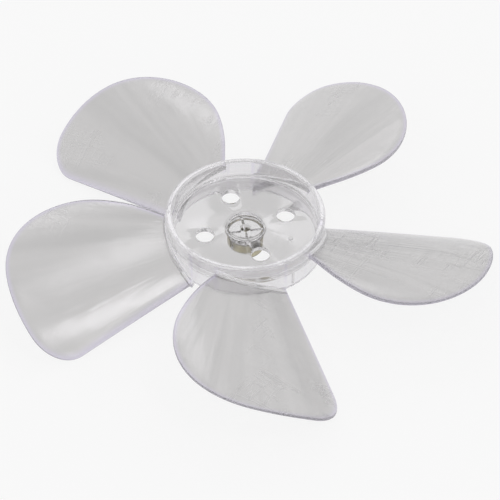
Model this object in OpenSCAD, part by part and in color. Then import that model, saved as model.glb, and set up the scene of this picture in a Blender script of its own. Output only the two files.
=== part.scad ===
// Five-blade refrigerator fan impeller, moulded in clear plastic, with its spring clip.
// The shaft runs along Z. Z = 0 is the end face of the shaft boss, where the motor shaft enters,
// and the open cup of the hub faces +Z. Sizes are in millimetres.

/* [Impeller] */
// Diameter over the blade tips
impeller_d = 150; // [120:1:200]
// Number of blades
blade_count = 5; // [3:1:6]
// Turn of the first blade about the shaft, in degrees
first_blade_turn = -78.4; // [-180:0.1:180]

/* [Hub] */
// Outer diameter of the hub
hub_d = 48; // [40:0.5:58]
// Height of the hub from the lower edge of its skirt to its rim
hub_h = 11.6; // [10:0.1:16]
// Thickness of the hub's outer wall
hub_wall = 1.9; // [1.4:0.1:2.6]
// Thickness of the floor that closes the hub
floor_t = 1.5; // [1.2:0.1:2]
// Height of the floor's underside above the lower edge of the skirt
skirt_depth = 4.9; // [3.5:0.1:6.5]
// Rounding of the rim's two edges
rim_round = 0.6; // [0.3:0.05:0.65]
// Rounding of the skirt's two lower edges
skirt_round = 0.3; // [0.1:0.05:0.6]
// Fillet between the wall and both faces of the floor
floor_fillet = 1; // [0.4:0.1:1.6]

/* [Floor holes] */
// Diameter of each hole through the floor
vent_d = 5.6; // [3:0.1:6.6]
// Diameter of the circle that the holes lie on
vent_circle_d = 26; // [22:0.5:32]
// Number of holes
vent_count = 4; // [3:1:6]
// Turn of the first hole from the first blade, in degrees
vent_turn = 9.5; // [0:0.5:60]

/* [Shaft boss] */
// Diameter of the shaft bore
bore_d = 3.18; // [2.4:0.01:4]
// Outer diameter of the boss
boss_d = 11; // [9:0.1:13]
// How far the boss reaches below the skirt
boss_drop = 2.6; // [1.5:0.1:4]
// Fillet between the boss and the floor's underside
boss_fillet = 1.3; // [0.5:0.1:2]
// Diameter of the shallow well in the top of the boss
well_d = 10.8; // [7:0.1:12]
// Depth of the well below the floor's upper face
well_depth = 1.3; // [0.5:0.1:2]
// Width of the slots that split the boss into fingers
slot_w = 0.8; // [0.5:0.1:1.2]
// Number of fingers
finger_count = 4; // [2:1:4]
// Length of the slots up from the end of the boss
slot_l = 5; // [4:0.1:6]
// Width of the bevel round the mouth of the bore
lead_in = 0.4; // [0.2:0.1:0.8]

/* [Spring clip] */
// Thickness of the clip's strip
clip_t = 0.7; // [0.4:0.1:1]
// Height of the clip's strip
clip_h = 3.6; // [2.5:0.1:4.5]
// Width of the gap between the clip's two ends
clip_gap = 1.6; // [0.8:0.1:3]
// Direction of the gap, in degrees
clip_gap_turn = -138; // [-180:1:180]
// Depth of the groove that the clip sits in
groove_depth = 0.45; // [0.3:0.05:0.6]
// Height of the lip below the groove
groove_lip = 0.6; // [0.4:0.1:1]
// Clearance between the clip and its groove
clip_clearance = 0.05; // [0.02:0.01:0.15]

/* [Blade sheet] */
// Radius that each blade is bent to, at the middle of its thickness
bend_r = 66; // [55:1:90]
// Distance of the bend's crest from the blade's axis, towards the raised edge
crest_offset = 28.6; // [22:0.1:34]
// Height of the crest above the lower edge of the skirt
crest_h = 10.4; // [9:0.1:11]
// Thickness of a blade at its root
root_t = 1.9; // [1.4:0.1:2.4]
// Thickness of a blade at its tip
tip_t = 1.1; // [0.8:0.1:1.8]

/* [Blade outline] */
// Angle of the root's raised end from the blade's axis
root_high = -31; // [-36:0.5:-20]
// Angle of the root's lowered end from the blade's axis
root_low = 20; // [10:0.5:28]
// Radius of the outline at the neck
neck_r = 52; // [40:1:80]
// Radius of the outline at the shoulder
shoulder_r = 25.2; // [20:0.1:31]
// Radius of the outline along the tip
tip_r = 38; // [30:1:60]
// Radius of the outline at the lowered corner
corner_r = 10.8; // [6:0.1:14]
// Lean of the tip from the blade's axis, in degrees
tip_lean = -1.8; // [-8:0.1:8]
// Direction of the outline where the neck turns into the shoulder
neck_end = -31; // [-40:1:-20]
// Direction of the outline where the shoulder turns into the tip
shoulder_end = 73; // [60:1:85]
// Direction of the outline where the tip turns into the corner
tip_end = 100.5; // [92:0.5:120]

/* [Marks of the mould] */
// Diameter of the gate mark on the floor
gate_d = 1.6; // [1:0.1:2.5]
// Height of the gate mark
gate_h = 0.3; // [0.1:0.05:0.4]
// Distance of the gate mark from the shaft
gate_reach = 14.7; // [12:0.1:17]
// Direction of the gate mark, in degrees
gate_turn = -22; // [-90:1:0]
// Width and depth of the witness rib inside the skirt
witness_w = 0.5; // [0.3:0.1:0.8]
// Direction of the witness rib, in degrees
witness_turn = -51; // [-90:1:0]

/* [Hidden] */
$fn = 96;
// How far a cutter or a joined shape runs past the face that it meets
overlap = 0.2;
hub_r = hub_d / 2;
hub_inner_r = hub_r - hub_wall;
skirt_z = boss_drop;
floor_low_z = skirt_z + skirt_depth;
floor_top_z = floor_low_z + floor_t;
rim_z = skirt_z + hub_h;
well_z = floor_top_z - well_depth;
boss_r = boss_d / 2;
groove_r = boss_r - groove_depth;
clip_z = groove_lip + clip_clearance;
clip_inner_r = groove_r + clip_clearance;
clip_outer_r = clip_inner_r + clip_t;
groove_h = clip_h + 2 * clip_clearance;
root_r = hub_r - hub_wall / 2;
crest_z = skirt_z + crest_h;
taper_angle = atan((root_t - tip_t) / 2 / (impeller_d / 2 - root_r));
// The blade outline is extruded from here up to the rim, and cut to the sheet
outline_low_z = rim_z - impeller_d / 4;
outline_h = rim_z - outline_low_z + overlap;
arc_step = 5;
clear = ["white", 0.45];

// Unit vector along direction a, and the outward normal of an outline that runs along a
function along(a) = [cos(a), sin(a)];
function outward(a) = [sin(a), -cos(a)];
function heading(v) = atan2(v.y, v.x);
// Centre of an arc of radius r_next that carries on smoothly from an arc that ends in direction a
function next_centre(centre, r, r_next, a) = centre + (r - r_next) * outward(a);
// Direction of the line from a root point to an arc, and from an arc back to a root point.
// A root point inside the arc's circle takes the nearest point of the arc.
function arriving(p, centre, r) = heading(centre - p) - asin(min(1, r / norm(centre - p)));
function leaving(centre, r, p) = heading(p - centre) + 360 + asin(min(1, r / norm(p - centre)));

// The outline's arcs, from the raised edge round the tip to the lowered corner
high_point = root_r * along(root_high);
low_point = root_r * along(root_low);
tip_centre = (impeller_d / 2 - tip_r) * along(tip_lean);
shoulder_centre = next_centre(tip_centre, tip_r, shoulder_r, shoulder_end);
neck_centre = next_centre(shoulder_centre, shoulder_r, neck_r, neck_end);
corner_centre = next_centre(tip_centre, tip_r, corner_r, tip_end);
neck_start = min(neck_end - 1, arriving(high_point, neck_centre, neck_r));
corner_end = leaving(corner_centre, corner_r, low_point) % 360;
// Each arc as [centre, radius, first direction, last direction]
blade_arcs = [
    [neck_centre, neck_r, neck_start, neck_end],
    [shoulder_centre, shoulder_r, neck_end, shoulder_end],
    [tip_centre, tip_r, shoulder_end, tip_end],
    [corner_centre, corner_r, tip_end, corner_end]
];

function arc_point(arc, a) = arc[0] + arc[1] * outward(a);
// Points along an arc, at most arc_step degrees apart, without its last point
function arc_points(arc) =
    let(turn = arc[3] - arc[2], steps = ceil(turn / arc_step))
    [for (i = [0 : steps - 1]) arc_point(arc, arc[2] + turn * i / steps)];

// Outline of one blade seen along the shaft, with its axis along +X
module paddle_outline() {
    last_arc = blade_arcs[len(blade_arcs) - 1];
    polygon([
        high_point,
        for (arc = blade_arcs) each arc_points(arc),
        arc_point(last_arc, last_arc[3]),
        low_point
    ]);
}

// A round bar along X that forms one face of the blade sheet, tilted for the taper.
// It runs from half a diameter behind the root to half a diameter past the tip.
module bend_bar(r, tilt) {
    translate([root_r, -crest_offset, crest_z - bend_r])
        rotate([0, tilt, 0])
            translate([-impeller_d / 2, 0, 0])
                rotate([0, 90, 0])
                    cylinder(h = 1.5 * impeller_d, r = r, $fn = 360);
}

// One blade: the outline cut from a bent sheet that thins towards the tip
module blade() {
    difference() {
        intersection() {
            translate([0, 0, outline_low_z])
                linear_extrude(outline_h)
                    paddle_outline();
            bend_bar(bend_r + root_t / 2, taper_angle);
        }
        bend_bar(bend_r - root_t / 2, -taper_angle);
        translate([0, 0, outline_low_z - overlap])
            cylinder(h = outline_h + 2 * overlap, r = root_r, $fn = 180);
    }
}

// The piece between two square sides and a rounding of radius r.
// It starts at corner p, and toward has a sign for each axis.
module corner_piece(p, r, toward) {
    difference() {
        translate([p.x + min(0, toward.x) * r, p.y + min(0, toward.y) * r])
            square(r);
        translate(p + r * toward)
            circle(r);
    }
}

// Half section of the hub and boss, from the shaft outwards
module hub_section() {
    difference() {
        union() {
            translate([hub_inner_r, skirt_z])
                square([hub_wall, hub_h]);
            translate([0, floor_low_z])
                square([hub_inner_r + overlap, floor_t]);
            square([boss_r, floor_low_z + overlap]);
            corner_piece([hub_inner_r, floor_top_z], floor_fillet, [-1, 1]);
            corner_piece([hub_inner_r, floor_low_z], floor_fillet, [-1, -1]);
            corner_piece([boss_r, floor_low_z], boss_fillet, [1, -1]);
        }
        corner_piece([hub_r, rim_z], rim_round, [-1, -1]);
        corner_piece([hub_inner_r, rim_z], rim_round, [1, -1]);
        corner_piece([hub_r, skirt_z], skirt_round, [-1, 1]);
        corner_piece([hub_inner_r, skirt_z], skirt_round, [1, 1]);
        translate([0, well_z])
            square([well_d / 2, well_depth + overlap]);
        translate([groove_r, groove_lip])
            square([groove_depth + overlap, groove_h]);
    }
}

// Slots that let the fingers of the boss spring, from its end upwards
module finger_slots() {
    for (i = [0 : finger_count - 1])
        rotate(first_blade_turn + i * 360 / finger_count)
            translate([0, -slot_w / 2, -overlap])
                cube([boss_r + overlap, slot_w, slot_l + overlap]);
}

// The shaft bore, open at both ends, with a bevelled mouth
module shaft_bore() {
    translate([0, 0, -overlap])
        cylinder(h = well_z + 2 * overlap, d = bore_d, $fn = 64);
    translate([0, 0, -overlap])
        cylinder(h = lead_in + overlap, r1 = bore_d / 2 + lead_in + overlap, r2 = bore_d / 2, $fn = 64);
}

// The round holes through the floor
module floor_vents() {
    for (i = [0 : vent_count - 1])
        rotate(first_blade_turn + vent_turn + i * 360 / vent_count)
            translate([vent_circle_d / 2, 0, floor_low_z - overlap])
                cylinder(h = floor_t + 2 * overlap, d = vent_d, $fn = 64);
}

// The gate mark on the floor and the witness rib inside the skirt
module mould_marks() {
    rotate(gate_turn)
        translate([gate_reach, 0, floor_top_z - overlap])
            cylinder(h = gate_h + overlap, d = gate_d, $fn = 32);
    rotate(witness_turn)
        translate([hub_inner_r - witness_w, -witness_w / 2, skirt_z + skirt_round])
            cube([witness_w + overlap, witness_w, skirt_depth - skirt_round + overlap]);
}

// The whole moulding: hub, boss and blades
module impeller() {
    color(clear[0], clear[1])
        difference() {
            union() {
                rotate_extrude($fn = 180)
                    hub_section();
                mould_marks();
                for (i = [0 : blade_count - 1])
                    rotate(first_blade_turn + i * 360 / blade_count)
                        blade();
            }
            shaft_bore();
            finger_slots();
            floor_vents();
        }
}

// The open spring ring that grips the fingers of the boss
module shaft_clip() {
    color("darkkhaki")
        translate([0, 0, clip_z])
            difference() {
                cylinder(h = clip_h, r = clip_outer_r, $fn = 96);
                translate([0, 0, -overlap])
                    cylinder(h = clip_h + 2 * overlap, r = clip_inner_r, $fn = 96);
                rotate(clip_gap_turn)
                    translate([0, -clip_gap / 2, -overlap])
                        cube([clip_outer_r + overlap, clip_gap, clip_h + 2 * overlap]);
            }
}

impeller();
shaft_clip();
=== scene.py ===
import math

import bpy
import numpy as np
from mathutils import Matrix, Vector


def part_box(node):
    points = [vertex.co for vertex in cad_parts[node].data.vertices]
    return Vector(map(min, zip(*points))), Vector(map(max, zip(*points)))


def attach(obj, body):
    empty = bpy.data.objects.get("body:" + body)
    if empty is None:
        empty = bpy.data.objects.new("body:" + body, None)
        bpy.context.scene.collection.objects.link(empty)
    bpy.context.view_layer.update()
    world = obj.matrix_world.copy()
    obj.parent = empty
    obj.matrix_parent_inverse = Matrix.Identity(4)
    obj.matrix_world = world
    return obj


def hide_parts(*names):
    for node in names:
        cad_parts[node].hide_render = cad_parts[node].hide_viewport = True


# Looks of a clear plastic refrigerator fan blade. Lengths are in metres, angles in degrees.
MM = 0.001

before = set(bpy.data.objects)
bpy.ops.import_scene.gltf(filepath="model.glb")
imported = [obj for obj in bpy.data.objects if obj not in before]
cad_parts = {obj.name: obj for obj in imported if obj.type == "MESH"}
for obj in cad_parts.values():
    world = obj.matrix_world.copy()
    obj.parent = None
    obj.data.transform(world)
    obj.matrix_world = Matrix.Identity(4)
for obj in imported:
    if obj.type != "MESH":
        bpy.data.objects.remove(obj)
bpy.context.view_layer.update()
low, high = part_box("impeller")
clip_low, clip_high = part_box("shaft_clip")

# Hub and boss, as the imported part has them
RIM_Z = high.z
HUB_R = 24 * MM
HUB_WALL = 1.9 * MM
SKIRT_Z = 2.6 * MM
FLOOR_LOW_Z = 7.5 * MM
FLOOR_TOP_Z = 9.0 * MM
RIM_ROUND = 0.6 * MM
SKIRT_ROUND = 0.3 * MM
FLOOR_FILLET = 1.0 * MM
BORE_R = 1.59 * MM
LEAD_IN = 0.4 * MM
BOSS_R = 5.5 * MM
BOSS_FILLET = 1.3 * MM
WELL_R = 5.4 * MM
WELL_Z = 7.7 * MM
GROOVE_R = 5.05 * MM
GROOVE_Z = (0.6 * MM, 4.3 * MM)
SLOT_W = 0.8 * MM
SLOT_TOP = 5.0 * MM
FINGERS = 4
VENT_R = 2.8 * MM
VENT_CIRCLE_R = 13 * MM
VENTS = 4
VENT_TURN = 9.5
EDGE_ROUND = 0.18 * MM
GATE = {"r": 0.8 * MM, "h": 0.3 * MM, "reach": 14.7 * MM, "turn": -22}
WITNESS = {"w": 0.5 * MM, "turn": -51, "low": 2.9 * MM}

# Blades
BLADES = 5
FIRST_TURN = -78.4
TIP_RADIUS = 75 * MM
BEND_R = 66 * MM
CREST_Y = -28.6 * MM
CREST_Z = 13.0 * MM
ROOT_T = 1.9 * MM
TIP_T = 1.1 * MM
ROOT_R = HUB_R - HUB_WALL / 2
ROOT_FILLET = 1.0 * MM
ROOT_HIGH = -31
ROOT_LOW = 20
NECK = {"r": 52 * MM, "end": -31}
SHOULDER = {"r": 25.2 * MM, "end": 73}
TIP = {"r": 38 * MM, "lean": -1.8, "end": 100.5}
CORNER = {"r": 10.8 * MM}
# The rim is thinner than the sheet inside it, over this width and by this much on each face
RIM_ROLL_W = 3.0 * MM
RIM_ROLL_H = 0.2 * MM


# Outline of a blade, in plan, with its axis along +X
def along(a):
    return np.array([math.cos(math.radians(a)), math.sin(math.radians(a))])


def outward(a):
    return np.array([math.sin(math.radians(a)), -math.cos(math.radians(a))])


def heading(v):
    return math.degrees(math.atan2(v[1], v[0]))


def arc_through(centre, r, first, last):
    """Points along an arc, one for each degree or so, with the outward normal of each."""
    steps = max(2, int(abs(last - first)))
    angles = np.linspace(first, last, steps + 1)
    return [(centre + r * outward(a), outward(a)) for a in angles]


def straight(start, end):
    """Points along a straight side, with the outward normal of each."""
    normal = outward(heading(end - start))
    steps = max(2, int(np.linalg.norm(end - start) / (1 * MM)))
    return [(start + (end - start) * k / steps, normal) for k in range(steps + 1)]


def blade_outline():
    """The blade's outline from the raised root point round the tip to the lowered one."""
    start, end = ROOT_R * along(ROOT_HIGH), ROOT_R * along(ROOT_LOW)
    tip = (TIP_RADIUS - TIP["r"]) * along(TIP["lean"])
    shoulder = tip + (TIP["r"] - SHOULDER["r"]) * outward(SHOULDER["end"])
    neck = shoulder + (SHOULDER["r"] - NECK["r"]) * outward(NECK["end"])
    corner = tip + (TIP["r"] - CORNER["r"]) * outward(TIP["end"])
    to_neck, to_end = neck - start, end - corner
    neck_start = heading(to_neck) - math.degrees(math.asin(NECK["r"] / np.linalg.norm(to_neck)))
    lean = math.degrees(math.asin(CORNER["r"] / np.linalg.norm(to_end)))
    corner_end = (heading(to_end) + lean) % 360
    arcs = arc_through(neck, NECK["r"], neck_start, NECK["end"])
    arcs += arc_through(shoulder, SHOULDER["r"], NECK["end"], SHOULDER["end"])[1:]
    arcs += arc_through(tip, TIP["r"], SHOULDER["end"], TIP["end"])[1:]
    arcs += arc_through(corner, CORNER["r"], TIP["end"], corner_end)[1:]
    return straight(start, arcs[0][0])[:-1] + arcs + straight(arcs[-1][0], end)[1:]


class Side:
    """A run of the outline that gives its point and normal at any distance along it."""

    def __init__(self, pairs):
        self.points = np.array([p for p, n in pairs])
        self.normals = np.array([n for p, n in pairs])
        steps = np.linalg.norm(np.diff(self.points, axis=0), axis=1)
        self.at = np.concatenate([[0], np.cumsum(steps)])
        self.length = self.at[-1]

    def _read(self, table, d):
        return np.stack([np.interp(d, self.at, table[:, k]) for k in range(2)], -1)

    def point(self, d):
        return self._read(self.points, d)

    def normal(self, d):
        n = self._read(self.normals, d)
        return n / np.linalg.norm(n, axis=-1, keepdims=True)


OUTLINE = np.array([p for p, n in blade_outline()])


def outline_distance(points):
    """Distance of each place in plan from the blade's outline."""
    starts, runs = OUTLINE[:-1], np.diff(OUTLINE, axis=0)
    away = points[..., None, :] - starts
    t = np.clip((away * runs).sum(-1) / (runs ** 2).sum(-1), 0, 1)
    return np.linalg.norm(away - t[..., None] * runs, axis=-1).min(-1)


# Blade sheet: bent to a cylinder, with a thickness that falls towards the tip and rolls off at the rim
def half_thickness(x, y):
    """Half of the sheet's thickness, with the fillet by which it runs into the hub wall."""
    share = np.clip((x - ROOT_R) / (TIP_RADIUS - ROOT_R), 0, 1)
    near = np.clip(np.hypot(x, y) - HUB_R, 0, ROOT_FILLET)
    flare = ROOT_FILLET - np.sqrt(ROOT_FILLET ** 2 - (ROOT_FILLET - near) ** 2)
    roll = np.clip(1 - outline_distance(np.stack([x, y], -1)) / RIM_ROLL_W, 0, 1)
    return (ROOT_T + (TIP_T - ROOT_T) * share) / 2 + flare - RIM_ROLL_H * roll ** 2


def sheet_z(x, y, side):
    """Height of the sheet's upper face (side 1) or lower face (side -1) at a place in plan."""
    r = BEND_R + side * half_thickness(x, y)
    return CREST_Z - BEND_R + np.sqrt(r ** 2 - (y - CREST_Y) ** 2)


ROWS_NEAR_ROOT = np.array([0, 0.6, 1.0, 1.15, 1.3, 1.5, 1.75, 2.05, 2.4, 3.0, 3.8]) * MM
ROWS = 80
COLUMNS = 64
ARRIS = 0.35 * MM
ARRIS_STEPS = 4
OUTLINE_INSET = 0.04 * MM
SHOULDER_SHARE = 0.46
CORNER_SHARE = 0.70


def spread(u):
    """Moves evenly spaced shares towards both ends, where the rim rolls off."""
    return u - 0.1 * np.sin(2 * math.pi * u)


def blade_grid(rim):
    """A grid of places in plan that fills the outline, and the distance along the rim of its sides."""
    a, b = SHOULDER_SHARE * rim.length, CORNER_SHARE * rim.length

    def stations(length):
        last = ROWS_NEAR_ROOT[-1]
        rest = last + (length - last) * spread(np.linspace(0, 1, ROWS + 2 - len(ROWS_NEAR_ROOT)))[1:]
        return np.concatenate([ROWS_NEAR_ROOT, rest])

    left_d, right_d = stations(a), rim.length - stations(rim.length - b)
    t = spread(np.linspace(0, 1, COLUMNS + 1))
    tip_d = a + (b - a) * t
    left, right, tip = rim.point(left_d), rim.point(right_d), rim.point(tip_d)
    turn = heading(left[0]) + (heading(right[0]) - heading(left[0])) * t
    reach = np.linalg.norm(left[0]) + (np.linalg.norm(right[0]) - np.linalg.norm(left[0])) * t
    root = np.stack([reach[k] * along(turn[k]) for k in range(len(t))])
    s = (left_d / a)[:, None, None]
    t = t[None, :, None]
    sides = (1 - s) * root[None] + s * tip[None] + (1 - t) * left[:, None] + t * right[:, None]
    corners = (1 - s) * ((1 - t) * root[0] + t * root[-1]) + s * ((1 - t) * tip[0] + t * tip[-1])
    return sides - corners, left_d, tip_d, right_d


def arris_points(inner, outline, z_inner, z_corner, z_wall):
    """Points of one rounded arris, from the face to the wall, without the first."""
    points = []
    for step in range(1, ARRIS_STEPS + 1):
        t = step / ARRIS_STEPS
        flat = (1 - t) ** 2 * inner + (1 - (1 - t) ** 2) * outline
        z = (1 - t) ** 2 * z_inner + 2 * t * (1 - t) * z_corner + t ** 2 * z_wall
        points.append((flat[0], flat[1], z))
    return points


def blade_mesh():
    """Vertices and faces of one closed blade with rounded arrises, in plan along +X."""
    whole = Side(blade_outline())
    rim = Side([(p - n * (ARRIS + OUTLINE_INSET), n) for p, n in zip(whole.points, whole.normals)])
    grid, left_d, tip_d, right_d = blade_grid(rim)
    rows, columns = grid.shape[:2]
    x, y = grid[..., 0], grid[..., 1]
    verts = [np.stack([x, y, sheet_z(x, y, side)], -1).reshape(-1, 3) for side in (1, -1)]
    faces = []
    for i in range(rows - 1):
        for j in range(columns - 1):
            quad = [i * columns + j, (i + 1) * columns + j, (i + 1) * columns + j + 1, i * columns + j + 1]
            faces.append(quad)
            faces.append([rows * columns + v for v in reversed(quad)])

    # The rim runs along the raised side, the tip, the lowered side and back along the root
    loop = [(i, 0) for i in range(rows - 1)] + [(rows - 1, j) for j in range(columns - 1)]
    loop += [(i, columns - 1) for i in range(rows - 1, 0, -1)]
    loop += [(0, j) for j in range(columns - 1, 0, -1)]
    distance = list(left_d[:-1]) + list(tip_d[:-1]) + list(right_d[:0:-1])
    normals = [rim.normal(d) for d in distance]
    normals += [-along(heading(grid[0, j])) for j in range(columns - 1, 0, -1)]
    inner = np.array([grid[i, j] for i, j in loop])
    outer = inner + ARRIS * np.array(normals)
    inner_z = [sheet_z(inner[:, 0], inner[:, 1], side) for side in (1, -1)]
    outer_z = [sheet_z(outer[:, 0], outer[:, 1], side) for side in (1, -1)]
    rings = []
    for k in range(len(loop)):
        top, bottom = outer_z[0][k], outer_z[1][k]
        trim = min(ARRIS, 0.4 * (top - bottom))
        down = arris_points(inner[k], outer[k], inner_z[0][k], top, top - trim)
        up = arris_points(inner[k], outer[k], inner_z[1][k], bottom, bottom + trim)
        rings.append(down + up[::-1])
    first_ring = 2 * rows * columns
    depth = len(rings[0])
    verts.append(np.array([p for ring in rings for p in ring]))

    def ring_id(step, k):
        i, j = loop[k % len(loop)]
        if step == 0:
            return i * columns + j
        if step == depth + 1:
            return rows * columns + i * columns + j
        return first_ring + (k % len(loop)) * depth + step - 1

    for step in range(depth + 1):
        for k in range(len(loop)):
            here = [ring_id(step, k), ring_id(step + 1, k)]
            after = [ring_id(step + 1, k + 1), ring_id(step, k + 1)]
            faces.append(here + after)
    return np.concatenate(verts), faces


# Mesh helpers
def new_object(name, verts, faces):
    mesh = bpy.data.meshes.new(name)
    mesh.from_pydata([tuple(v) for v in verts], [], faces)
    mesh.validate()
    mesh.update()
    obj = bpy.data.objects.new(name, mesh)
    bpy.context.scene.collection.objects.link(obj)
    return obj


def corner(centre, r, first, last, steps=6):
    """Points of a rounded corner of a section, from one angle to another."""
    angles = np.radians(np.linspace(first, last, steps + 1))
    return [(centre[0] + r * math.cos(a), centre[1] + r * math.sin(a)) for a in angles]


def turned(name, section, segments):
    """A ring turned from a closed section of (radius, height) points."""
    count = len(section)
    verts, faces = [], []
    for k in range(segments):
        a = 2 * math.pi * k / segments
        verts += [(r * math.cos(a), r * math.sin(a), z) for r, z in section]
    for k in range(segments):
        m = (k + 1) % segments
        for i in range(count):
            n = (i + 1) % count
            faces.append([k * count + i, m * count + i, m * count + n, k * count + n])
    return new_object(name, verts, faces)


def turned_solid(name, section, segments):
    """A solid of revolution whose section starts and ends on the axis."""
    inner = section[1:-1]
    count = len(inner)
    verts, faces = [], []
    for k in range(segments):
        a = 2 * math.pi * k / segments
        verts += [(r * math.cos(a), r * math.sin(a), z) for r, z in inner]
    bottom, top = len(verts), len(verts) + 1
    verts += [(0, 0, section[0][1]), (0, 0, section[-1][1])]
    for k in range(segments):
        m = (k + 1) % segments
        faces.append([bottom, m * count, k * count])
        faces.append([top, k * count + count - 1, m * count + count - 1])
        for i in range(count - 1):
            faces.append([k * count + i, m * count + i, m * count + i + 1, k * count + i + 1])
    return new_object(name, verts, faces)


def block(name, size, centre):
    x, y, z = (s / 2 for s in size)
    verts = [(centre[0] + a * x, centre[1] + b * y, centre[2] + c * z)
             for a in (-1, 1) for b in (-1, 1) for c in (-1, 1)]
    faces = [(0, 1, 3, 2), (4, 6, 7, 5), (0, 4, 5, 1), (2, 3, 7, 6), (0, 2, 6, 4), (1, 5, 7, 3)]
    return new_object(name, verts, faces)


def place(obj, turn, move=(0, 0, 0)):
    """Moves the mesh itself, then turns it about the shaft axis."""
    matrix = Matrix.Rotation(math.radians(turn), 4, "Z") @ Matrix.Translation(Vector(move))
    obj.data.transform(matrix)
    return obj


def carve(obj, others, operation):
    """Joins or cuts other closed meshes, which are then deleted."""
    for other in others:
        change = obj.modifiers.new("carve", "BOOLEAN")
        change.operation = operation
        change.solver = "MANIFOLD"
        change.object = other
    graph = bpy.context.evaluated_depsgraph_get()
    graph.update()
    mesh = bpy.data.meshes.new_from_object(obj.evaluated_get(graph))
    obj.modifiers.clear()
    old, obj.data = obj.data, mesh
    bpy.data.meshes.remove(old)
    for other in others:
        bpy.data.objects.remove(other)
    return obj


# Impeller: hub and boss
def hub_section():
    inner = HUB_R - HUB_WALL
    groove_low, groove_high = GROOVE_Z
    section = [(BORE_R + LEAD_IN, 0)]
    section += corner((BOSS_R - EDGE_ROUND, EDGE_ROUND), EDGE_ROUND, -90, 0, 3)
    section += [(BOSS_R, groove_low), (GROOVE_R, groove_low), (GROOVE_R, groove_high), (BOSS_R, groove_high)]
    section += corner((BOSS_R + BOSS_FILLET, FLOOR_LOW_Z - BOSS_FILLET), BOSS_FILLET, 180, 90, 8)
    section += corner((inner - FLOOR_FILLET, FLOOR_LOW_Z - FLOOR_FILLET), FLOOR_FILLET, 90, 0, 8)
    section += corner((inner + SKIRT_ROUND, SKIRT_Z + SKIRT_ROUND), SKIRT_ROUND, 180, 270, 4)
    section += corner((HUB_R - SKIRT_ROUND, SKIRT_Z + SKIRT_ROUND), SKIRT_ROUND, -90, 0, 4)
    section += corner((HUB_R - RIM_ROUND, RIM_Z - RIM_ROUND), RIM_ROUND, 0, 90, 8)
    section += corner((inner + RIM_ROUND, RIM_Z - RIM_ROUND), RIM_ROUND, 90, 180, 8)
    section += corner((inner - FLOOR_FILLET, FLOOR_TOP_Z + FLOOR_FILLET), FLOOR_FILLET, 0, -90, 8)
    section += corner((WELL_R + EDGE_ROUND, FLOOR_TOP_Z - EDGE_ROUND), EDGE_ROUND, 90, 180, 3)
    section += [(WELL_R, WELL_Z), (BORE_R, WELL_Z), (BORE_R, LEAD_IN)]
    return section


def vent_cutter():
    """A cylinder with flared ends, so that a hole gets rounded edges."""
    over = 0.5 * MM
    lower = corner((VENT_R + EDGE_ROUND, FLOOR_LOW_Z + EDGE_ROUND), EDGE_ROUND, 270, 180, 3)
    upper = corner((VENT_R + EDGE_ROUND, FLOOR_TOP_Z - EDGE_ROUND), EDGE_ROUND, 180, 90, 3)
    wide = VENT_R + EDGE_ROUND
    section = [(0, FLOOR_LOW_Z - over), (wide, FLOOR_LOW_Z - over)] + lower + upper
    section += [(wide, FLOOR_TOP_Z + over), (0, FLOOR_TOP_Z + over)]
    return turned_solid("vent", section, 64)


def make_impeller():
    impeller = turned("impeller_clear", hub_section(), 256)
    inner = HUB_R - HUB_WALL
    gate_top = FLOOR_TOP_Z + GATE["h"]
    gate_section = [(0, FLOOR_TOP_Z - GATE["h"]), (GATE["r"], FLOOR_TOP_Z - GATE["h"])]
    gate_section += corner((GATE["r"] - EDGE_ROUND, gate_top - EDGE_ROUND), EDGE_ROUND, 0, 90, 3)
    gate_section += [(0, gate_top)]
    gate = place(turned_solid("gate", gate_section, 32), GATE["turn"], (GATE["reach"], 0, 0))
    rib_h = FLOOR_LOW_Z - WITNESS["low"]
    rib_at = (inner, 0, WITNESS["low"] + rib_h / 2)
    rib = place(block("rib", (2 * WITNESS["w"], WITNESS["w"], rib_h), rib_at), WITNESS["turn"])
    verts, faces = blade_mesh()
    blades = [place(new_object("blade", verts, faces), FIRST_TURN + 360 * k / BLADES) for k in range(BLADES)]
    carve(impeller, [gate, rib] + blades, "UNION")
    slot_size = (BOSS_R + 1 * MM, SLOT_W, SLOT_TOP + 1 * MM)
    slot_at = (slot_size[0] / 2, 0, (SLOT_TOP - 1 * MM) / 2)
    cutters = []
    for k in range(FINGERS):
        cutters.append(place(block("slot", slot_size, slot_at), FIRST_TURN + 360 * k / FINGERS))
    for k in range(VENTS):
        turn = FIRST_TURN + VENT_TURN + 360 * k / VENTS
        cutters.append(place(vent_cutter(), turn, (VENT_CIRCLE_R, 0, 0)))
    carve(impeller, cutters, "DIFFERENCE")
    return impeller


# Spring clip
CLIP_R = 5.8 * MM
CLIP_T = 0.7 * MM
CLIP_GAP = 1.6 * MM
CLIP_TURN = -138
CLIP_EDGE = 0.12 * MM
CLIP_STEPS = 120


def make_clip():
    """An open ring of rolled strip with rounded edges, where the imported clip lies."""
    outer, inner = CLIP_R, CLIP_R - CLIP_T
    e = CLIP_EDGE
    bottom, top = clip_low.z, clip_high.z
    section = corner((outer - e, bottom + e), e, -90, 0, 3) + corner((outer - e, top - e), e, 0, 90, 3)
    section += corner((inner + e, top - e), e, 90, 180, 3) + corner((inner + e, bottom + e), e, 180, 270, 3)
    half_gap = math.degrees(math.asin(CLIP_GAP / 2 / outer))
    count = len(section)
    verts, faces = [], []
    for k in range(CLIP_STEPS + 1):
        a = math.radians(CLIP_TURN + half_gap + (360 - 2 * half_gap) * k / CLIP_STEPS)
        verts += [(r * math.cos(a), r * math.sin(a), z) for r, z in section]
    for k in range(CLIP_STEPS):
        for i in range(count):
            n = (i + 1) % count
            faces.append([k * count + i, (k + 1) * count + i, (k + 1) * count + n, k * count + n])
    faces.append(list(range(count)))
    faces.append([CLIP_STEPS * count + i for i in reversed(range(count))])
    return new_object("spring_clip", verts, faces)


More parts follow.
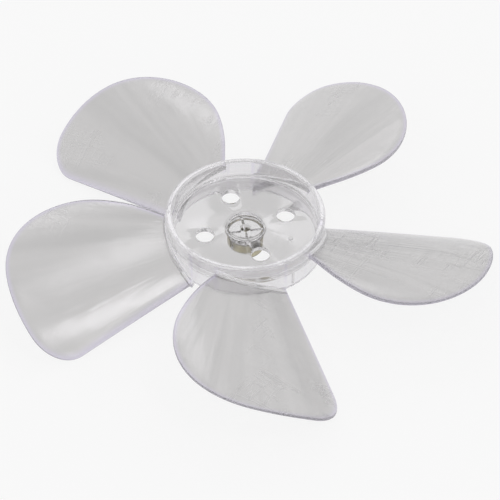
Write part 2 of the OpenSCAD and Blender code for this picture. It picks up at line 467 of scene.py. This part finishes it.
# How far each point of the impeller lies inside a thick edge, for the tint of the plastic
EDGE_BAND = 1.6 * MM


def blade_edge_share(points):
    """1 on a blade's outline, falling to 0 at the width of the edge band inside it."""
    share = np.zeros(len(points))
    radius = np.hypot(points[:, 0], points[:, 1])
    outside = np.nonzero(radius > HUB_R)[0]
    angle = np.degrees(np.arctan2(points[outside, 1], points[outside, 0])) - FIRST_TURN
    nearest = np.full(len(outside), EDGE_BAND)
    for k in range(BLADES):
        local = np.radians(angle - 360 * k / BLADES)
        place_ = radius[outside, None] * np.stack([np.cos(local), np.sin(local)], -1)
        nearest = np.minimum(nearest, outline_distance(place_))
    share[outside] = 1 - nearest / EDGE_BAND
    return share


def add_edge_share(obj):
    points = np.array([v.co for v in obj.data.vertices])
    share = blade_edge_share(points)
    attribute = obj.data.attributes.new("edge_share", "FLOAT", "POINT")
    attribute.data.foreach_set("value", share.astype(np.float32))


# How fast the streaks change along the radius, for each metre of it
STREAK_DRIFT = 14.0


# Shader helpers
def group(name, inputs, outputs):
    """An empty node group with float inputs, given by name and default, and named outputs."""
    tree = bpy.data.node_groups.new(name, "ShaderNodeTree")
    for label, value in inputs.items():
        socket = tree.interface.new_socket(label, in_out="INPUT", socket_type="NodeSocketFloat")
        socket.default_value = value
    for label in outputs:
        kind = "NodeSocketColor" if label == "Color" else "NodeSocketFloat"
        tree.interface.new_socket(label, in_out="OUTPUT", socket_type=kind)
    return tree


def node(tree, kind, links=None, **settings):
    """Adds a node. Settings are its properties, and links fill its sockets by name or number."""
    made = tree.nodes.new(kind)
    for key, value in settings.items():
        setattr(made, key, value)
    for key, value in (links or {}).items():
        socket = made.inputs[key]
        if isinstance(value, bpy.types.NodeSocket):
            tree.links.new(value, socket)
        else:
            socket.default_value = value
    return made


def math_node(tree, operation, a, b=0.0, c=0.0):
    return node(tree, "ShaderNodeMath", {0: a, 1: b, 2: c}, operation=operation).outputs[0]


def axis_radius(tree, x, y):
    """Distance from the shaft axis."""
    squares = math_node(tree, "ADD", math_node(tree, "MULTIPLY", x, x), math_node(tree, "MULTIPLY", y, y))
    return math_node(tree, "SQRT", squares)


def smooth_step(tree, value, start, end, low_value=0.0, high_value=1.0):
    made = node(tree, "ShaderNodeMapRange", {"Value": value, "From Min": start, "From Max": end,
                                             "To Min": low_value, "To Max": high_value},
                interpolation_type="SMOOTHSTEP")
    return made.outputs["Result"]


def flow_marks_and_shade_group():
    """Streaks and waves that the melt leaves as it runs outwards from the hub, for bumps; the streaks also
    place a painted shade on the blades.
    """
    tree = group("flow_marks_and_shade", {"Streaks": 9.0, "Waves": 60.0, "Seed": 0.0}, ["Streak", "Wave"])
    given = tree.nodes.new("NodeGroupInput")
    place_ = node(tree, "ShaderNodeTexCoord").outputs["Object"]
    apart = node(tree, "ShaderNodeSeparateXYZ", {0: place_})
    x, y = apart.outputs[0], apart.outputs[1]
    radius = axis_radius(tree, x, y)
    cos_a = math_node(tree, "DIVIDE", x, radius)
    sin_a = math_node(tree, "DIVIDE", y, radius)
    streak_at = node(tree, "ShaderNodeCombineXYZ", {
        0: math_node(tree, "MULTIPLY", cos_a, given.outputs["Streaks"]),
        1: math_node(tree, "MULTIPLY", sin_a, given.outputs["Streaks"]),
        2: math_node(tree, "MULTIPLY_ADD", radius, STREAK_DRIFT, given.outputs["Seed"])}).outputs[0]
    streak = node(tree, "ShaderNodeTexNoise", {"Vector": streak_at, "Scale": 1.0, "Detail": 3.0,
                                               "Roughness": 0.6, "Distortion": 0.6})
    wave = node(tree, "ShaderNodeTexNoise", {"Vector": place_, "Scale": given.outputs["Waves"],
                                             "Detail": 1.5, "Roughness": 0.4, "Distortion": 0.8})
    out = tree.nodes.new("NodeGroupOutput")
    tree.links.new(streak.outputs["Fac"], out.inputs["Streak"])
    tree.links.new(wave.outputs["Fac"], out.inputs["Wave"])
    return tree


def fine_scratches_group():
    """Hairline handling scratches: thin crests of stretched noise, turned two ways."""
    tree = group("fine_scratches", {"Scale": 500.0, "Stretch": 0.06, "Width": 0.03}, ["Mask"])
    given = tree.nodes.new("NodeGroupInput")
    place_ = node(tree, "ShaderNodeTexCoord").outputs["Object"]
    masks = []
    for turn in (25, -62):
        turned_ = node(tree, "ShaderNodeMapping", {"Vector": place_, "Rotation": (0, 0, math.radians(turn))})
        apart = node(tree, "ShaderNodeSeparateXYZ", {0: turned_.outputs[0]})
        pulled = node(tree, "ShaderNodeCombineXYZ", {
            0: math_node(tree, "MULTIPLY", apart.outputs[0], given.outputs["Stretch"]),
            1: apart.outputs[1],
            2: math_node(tree, "MULTIPLY", apart.outputs[2], given.outputs["Stretch"])}).outputs[0]
        noise = node(tree, "ShaderNodeTexNoise", {"Vector": pulled, "Scale": given.outputs["Scale"],
                                                  "Detail": 1.0, "Roughness": 0.5})
        off = math_node(tree, "ABSOLUTE", math_node(tree, "SUBTRACT", noise.outputs["Fac"], 0.5))
        masks.append(smooth_step(tree, off, 0.0, given.outputs["Width"], 1.0, 0.0))
    patches = node(tree, "ShaderNodeTexNoise", {"Vector": place_, "Scale": 45.0, "Detail": 2.0})
    where = smooth_step(tree, patches.outputs["Fac"], 0.45, 0.7)
    both = math_node(tree, "MAXIMUM", masks[0], masks[1])
    out = tree.nodes.new("NodeGroupOutput")
    tree.links.new(math_node(tree, "MULTIPLY", both, where), out.inputs["Mask"])
    return tree


def handling_haze_group():
    """Slow patches where handling has dulled the gloss, from 0 to 1."""
    tree = group("handling_haze", {"Scale": 40.0}, ["Mask"])
    given = tree.nodes.new("NodeGroupInput")
    place_ = node(tree, "ShaderNodeTexCoord").outputs["Object"]
    noise = node(tree, "ShaderNodeTexNoise", {"Vector": place_, "Scale": given.outputs["Scale"],
                                              "Detail": 3.0, "Roughness": 0.55})
    out = tree.nodes.new("NodeGroupOutput")
    tree.links.new(smooth_step(tree, noise.outputs["Fac"], 0.3, 0.7), out.inputs["Mask"])
    return tree


FLOW_MARKS_AND_SHADE = flow_marks_and_shade_group()
FINE_SCRATCHES = fine_scratches_group()
HANDLING_HAZE = handling_haze_group()


def use(tree, shared, links=None):
    """Places a shared effect in a material, with its own values."""
    made = node(tree, "ShaderNodeGroup", node_tree=shared)
    for key, value in (links or {}).items():
        made.inputs[key].default_value = value
    return made


def mix_colour(tree, factor, a, b):
    made = node(tree, "ShaderNodeMix", data_type="RGBA")
    for socket, value in ((made.inputs[0], factor), (made.inputs[6], a), (made.inputs[7], b)):
        if isinstance(value, bpy.types.NodeSocket):
            tree.links.new(value, socket)
        else:
            socket.default_value = value
    return made.outputs[2]


def bump(tree, height, strength, distance, normal=None):
    links = {"Height": height, "Strength": strength, "Distance": distance}
    if normal is not None:
        links["Normal"] = normal
    return node(tree, "ShaderNodeBump", links).outputs["Normal"]


# Plastic colours: the blade sheets, the hub's floor and wall, and the thick edges. The sheets' streak tint
# is painted shade, and the wall's lighter tint is a painted sheen.
SHEET_TINT = (0.665, 0.655, 0.655, 1)
# Painted shade: the sheet is tinted darker along the streaks, standing in for the dark reflections there
SHEET_STREAK_SHADE_TINT = (0.60, 0.592, 0.592, 1)
FLOOR_TINT = (0.66, 0.652, 0.655, 1)
# Painted sheen: the wall's lighter tint stands in for the soft highlights on the hub wall
WALL_SHEEN_TINT = (0.84, 0.83, 0.85, 1)
EDGE_TINT = (0.70, 0.665, 0.79, 1)
BLADE_ROUGH = 0.15
HUB_ROUGH = 0.05


def clear_plastic():
    material = bpy.data.materials.new("clear_plastic")
    material.use_nodes = True
    tree = material.node_tree
    shader = tree.nodes["Principled BSDF"]
    # The flow marks bump the blades, and their streaks also place the painted shade on them
    flow = use(tree, FLOW_MARKS_AND_SHADE, {"Streaks": 9.0, "Waves": 55.0})
    scratches = use(tree, FINE_SCRATCHES, {"Scale": 420.0})
    haze = use(tree, HANDLING_HAZE, {"Scale": 38.0})
    place_ = node(tree, "ShaderNodeTexCoord").outputs["Object"]
    apart = node(tree, "ShaderNodeSeparateXYZ", {0: place_})
    x, y = apart.outputs[0], apart.outputs[1]
    radius = axis_radius(tree, x, y)
    edge = node(tree, "ShaderNodeAttribute", attribute_name="edge_share").outputs["Fac"]
    on_blade = smooth_step(tree, radius, HUB_R + 0.1 * MM, HUB_R + 0.8 * MM)
    past_floor = smooth_step(tree, radius, HUB_R - HUB_WALL - 0.4 * MM, HUB_R - HUB_WALL)
    # Painted shade: a darker tint along the streaks
    streak = smooth_step(tree, flow.outputs["Streak"], 0.35, 0.75)
    sheet = mix_colour(tree, streak, SHEET_TINT, SHEET_STREAK_SHADE_TINT)
    # Painted sheen: the hub wall is tinted lighter than the floor
    colour = mix_colour(tree, past_floor, FLOOR_TINT, WALL_SHEEN_TINT)
    colour = mix_colour(tree, on_blade, colour, sheet)
    colour = mix_colour(tree, edge, colour, EDGE_TINT)
    tree.links.new(colour, shader.inputs["Base Color"])
    rough = math_node(tree, "MULTIPLY_ADD", on_blade, BLADE_ROUGH - HUB_ROUGH, HUB_ROUGH)
    rough = math_node(tree, "MULTIPLY_ADD", haze.outputs["Mask"], 0.06, rough)
    rough = math_node(tree, "MULTIPLY_ADD", scratches.outputs["Mask"], 0.12, rough)
    tree.links.new(rough, shader.inputs["Roughness"])
    wave = math_node(tree, "MULTIPLY", flow.outputs["Wave"], on_blade)
    ridge = math_node(tree, "MULTIPLY", flow.outputs["Streak"], on_blade)
    normal = bump(tree, wave, 0.5, 0.5 * MM)
    normal = bump(tree, ridge, 0.5, 0.25 * MM, normal)
    normal = bump(tree, scratches.outputs["Mask"], 0.3, 0.02 * MM, normal)
    tree.links.new(normal, shader.inputs["Normal"])
    shader.inputs["IOR"].default_value = 1.57
    shader.inputs["Transmission Weight"].default_value = 1
    return material


def clip_metal():
    material = bpy.data.materials.new("clip_metal")
    material.use_nodes = True
    tree = material.node_tree
    shader = tree.nodes["Principled BSDF"]
    scratches = use(tree, FINE_SCRATCHES, {"Scale": 900.0, "Stretch": 0.1, "Width": 0.05})
    haze = use(tree, HANDLING_HAZE, {"Scale": 350.0})
    colour = mix_colour(tree, haze.outputs["Mask"], (0.50, 0.45, 0.29, 1), (0.34, 0.31, 0.22, 1))
    colour = mix_colour(tree, scratches.outputs["Mask"], colour, (0.66, 0.62, 0.48, 1))
    tree.links.new(colour, shader.inputs["Base Color"])
    rough = math_node(tree, "MULTIPLY_ADD", haze.outputs["Mask"], 0.15, 0.28)
    tree.links.new(rough, shader.inputs["Roughness"])
    normal = bump(tree, scratches.outputs["Mask"], 0.3, 0.02 * MM)
    tree.links.new(normal, shader.inputs["Normal"])
    shader.inputs["Metallic"].default_value = 1
    return material


def finish_piece(obj, material, cad_node, sharp_angle):
    for polygon in obj.data.polygons:
        polygon.use_smooth = True
    obj.data.set_sharp_from_angle(angle=math.radians(sharp_angle))
    obj.data.materials.clear()
    obj.data.materials.append(material)
    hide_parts(cad_node)
    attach(obj, "root")


# Light runs a long way inside a clear sheet, from face to face, before it comes out at an edge
LIGHT_BOUNCES = 48

# Camera: fitted to the hub's rings, the floor holes and the blades' outlines in the photograph
CAMERA_ELEVATION = 45.5955
CAMERA_ROLL = 1.0318
FOCAL_PIXELS = 2253.94
PICTURE_PIXELS = 500
SENSOR_MM = 36
CAMERA_SHIFT = Vector((-1.4557, -2.8464, 685.2344)) * MM
FIT_HEIGHT = 2.16 * MM


def add_camera():
    e, r = math.radians(CAMERA_ELEVATION), math.radians(CAMERA_ROLL)
    tilt = Matrix(((1, 0, 0), (0, -math.sin(e), -math.cos(e)), (0, math.cos(e), -math.sin(e))))
    roll = Matrix(((math.cos(r), -math.sin(r), 0), (math.sin(r), math.cos(r), 0), (0, 0, 1)))
    to_camera = roll @ tilt
    stand = Vector((0, 0, FIT_HEIGHT)) - to_camera.transposed() @ CAMERA_SHIFT
    flip = Matrix(((1, 0, 0), (0, -1, 0), (0, 0, -1)))
    turn = (flip @ to_camera).transposed()
    data = bpy.data.cameras.new("camera")
    data.sensor_width = SENSOR_MM
    data.lens = FOCAL_PIXELS * SENSOR_MM / PICTURE_PIXELS
    data.clip_end = 20
    camera = bpy.data.objects.new("camera", data)
    camera.matrix_world = Matrix.Translation(stand) @ turn.to_4x4()
    bpy.context.scene.collection.objects.link(camera)
    bpy.context.scene.camera = camera


# Light: a pale studio that darkens overhead, and soft boxes placed by azimuth and elevation
LAMP_REACH = 1.3
SOFT_BOXES = {
    "back_box": {"azimuth": -4, "elevation": 46, "width": 0.42, "height": 0.20, "radiance": 2.2},
    "right_box": {"azimuth": 119, "elevation": 60, "width": 0.22, "height": 0.22, "radiance": 5.5},
    "top_box": {"azimuth": 55, "elevation": 74, "width": 0.32, "height": 0.16, "radiance": 3.0},
}
LAMP_COLOUR = (0.98, 0.97, 1.0)


def add_soft_box(name, azimuth, elevation, width, height, radiance):
    a, e = math.radians(azimuth), math.radians(elevation)
    toward = Vector((math.sin(a) * math.cos(e), math.cos(a) * math.cos(e), math.sin(e)))
    data = bpy.data.lights.new(name, "AREA")
    data.shape = "RECTANGLE"
    data.size, data.size_y = width, height
    data.color = LAMP_COLOUR
    data.energy = radiance * math.pi * width * height
    lamp = bpy.data.objects.new(name, data)
    lamp.location = toward * LAMP_REACH
    lamp.rotation_euler = toward.to_track_quat("Z", "Y").to_euler()
    bpy.context.scene.collection.objects.link(lamp)


WORLD_BY_HEIGHT = ((0.0, 1.0), (0.45, 0.95), (0.80, 0.5), (0.93, 0.25), (1.0, 0.2))


def add_world():
    world = bpy.data.worlds.new("studio")
    bpy.context.scene.world = world
    world.use_nodes = True
    tree = world.node_tree
    back = tree.nodes["Background"]
    direction = node(tree, "ShaderNodeTexCoord").outputs["Generated"]
    up = node(tree, "ShaderNodeSeparateXYZ", {0: direction}).outputs[2]
    ramp = node(tree, "ShaderNodeValToRGB", {0: up})
    ramp.color_ramp.interpolation = "EASE"
    stops = ramp.color_ramp.elements
    while len(stops) < len(WORLD_BY_HEIGHT):
        stops.new(0.5)
    for stop, (height, value) in zip(stops, WORLD_BY_HEIGHT):
        stop.position = height
        stop.color = (value, value, value, 1)
    tree.links.new(ramp.outputs["Color"], back.inputs["Color"])


FLOOR_HALF = 4.0
FLOOR_COLOUR = (0.85, 0.85, 0.85, 1)
SHADOW_SHARE = 0.14


def floor_material():
    """White paper. What looks straight at it sees white, with a share of its own light and shadow."""
    material = bpy.data.materials.new("paper")
    material.use_nodes = True
    tree = material.node_tree
    tree.nodes.remove(tree.nodes["Principled BSDF"])
    rays = node(tree, "ShaderNodeLightPath").outputs
    seen = math_node(tree, "MAXIMUM", rays["Is Camera Ray"],
                     math_node(tree, "MAXIMUM", rays["Is Glossy Ray"], rays["Is Transmission Ray"]))
    paper = node(tree, "ShaderNodeBsdfDiffuse", {"Color": FLOOR_COLOUR}).outputs[0]
    white = node(tree, "ShaderNodeEmission", {"Color": (1, 1, 1, 1), "Strength": 1.0}).outputs[0]
    share = math_node(tree, "MULTIPLY", seen, 1 - SHADOW_SHARE)
    mix = node(tree, "ShaderNodeMixShader", {0: share, 1: paper, 2: white}).outputs[0]
    tree.links.new(mix, tree.nodes["Material Output"].inputs["Surface"])
    return material


def add_floor():
    h = FLOOR_HALF
    corners = [(-h, -h, low.z), (h, -h, low.z), (h, h, low.z), (-h, h, low.z)]
    floor = new_object("floor", corners, [(0, 1, 2, 3)])
    floor.data.materials.append(floor_material())


add_camera()
impeller = make_impeller()
add_edge_share(impeller)
finish_piece(impeller, clear_plastic(), "impeller", 35)
clip = make_clip()
finish_piece(clip, clip_metal(), "shaft_clip", 40)
for box_name, facts in SOFT_BOXES.items():
    add_soft_box(box_name, **facts)
add_world()
add_floor()
bpy.context.scene.view_settings.view_transform = "Standard"
limits = bpy.context.scene.cycles
limits.max_bounces = limits.glossy_bounces = limits.transmission_bounces = LIGHT_BOUNCES
